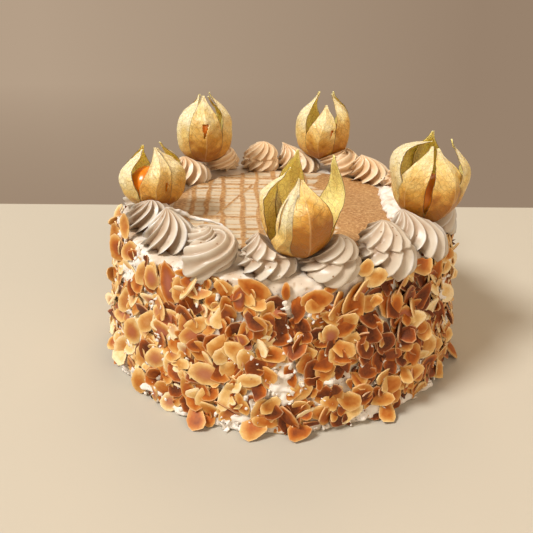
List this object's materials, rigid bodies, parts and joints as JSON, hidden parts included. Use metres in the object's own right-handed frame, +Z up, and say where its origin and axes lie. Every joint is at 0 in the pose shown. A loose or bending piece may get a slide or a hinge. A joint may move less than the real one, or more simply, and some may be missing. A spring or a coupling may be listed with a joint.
{
  "type": "caramel torte",
  "caption": "Round cream-coated cake with toasted almond flakes round its side, a caramel lattice on top, a ring of piped rosettes and physalis fruits in open husks.",
  "frame": {"origin": "middle of the flat underside of the torte", "axes": "+Z up, -Y towards the front of the picture, +X to its right"},
  "size_m": [0.1825, 0.1815, 0.1167],
  "materials": {
    "almond_coated_cream": "spread coffee buttercream, almost hidden by toasted almond flakes",
    "caramel": "set caramel, satin, thin and slightly uneven",
    "coffee_buttercream": "piped buttercream, satin, with small bubbles",
    "dry_husk": "dry papery husk with fine veins",
    "physalis_skin": "smooth glossy fruit skin"
  },
  "bodies": {
    "root": {"cream_torte": "almond_coated_cream", "caramel_top": "caramel", "rosette_01": "coffee_buttercream", "rosette_02": "coffee_buttercream", "rosette_03": "coffee_buttercream", "rosette_04": "coffee_buttercream", "rosette_05": "coffee_buttercream", "rosette_06": "coffee_buttercream", "rosette_07": "coffee_buttercream", "rosette_08": "coffee_buttercream", "rosette_09": "coffee_buttercream", "rosette_10": "coffee_buttercream", "rosette_11": "coffee_buttercream", "rosette_12": "coffee_buttercream", "rosette_13": "coffee_buttercream", "rosette_14": "coffee_buttercream", "rosette_15": "coffee_buttercream", "rosette_16": "coffee_buttercream", "rosette_17": "coffee_buttercream", "rosette_18": "coffee_buttercream", "physalis_husk_1": "dry_husk", "physalis_husk_2": "dry_husk", "physalis_husk_3": "dry_husk", "physalis_husk_4": "dry_husk", "physalis_husk_5": "dry_husk", "physalis_berry_1": "physalis_skin", "physalis_berry_2": "physalis_skin", "physalis_berry_3": "physalis_skin", "physalis_berry_4": "physalis_skin", "physalis_berry_5": "physalis_skin"}
  },
  "joints": []
}
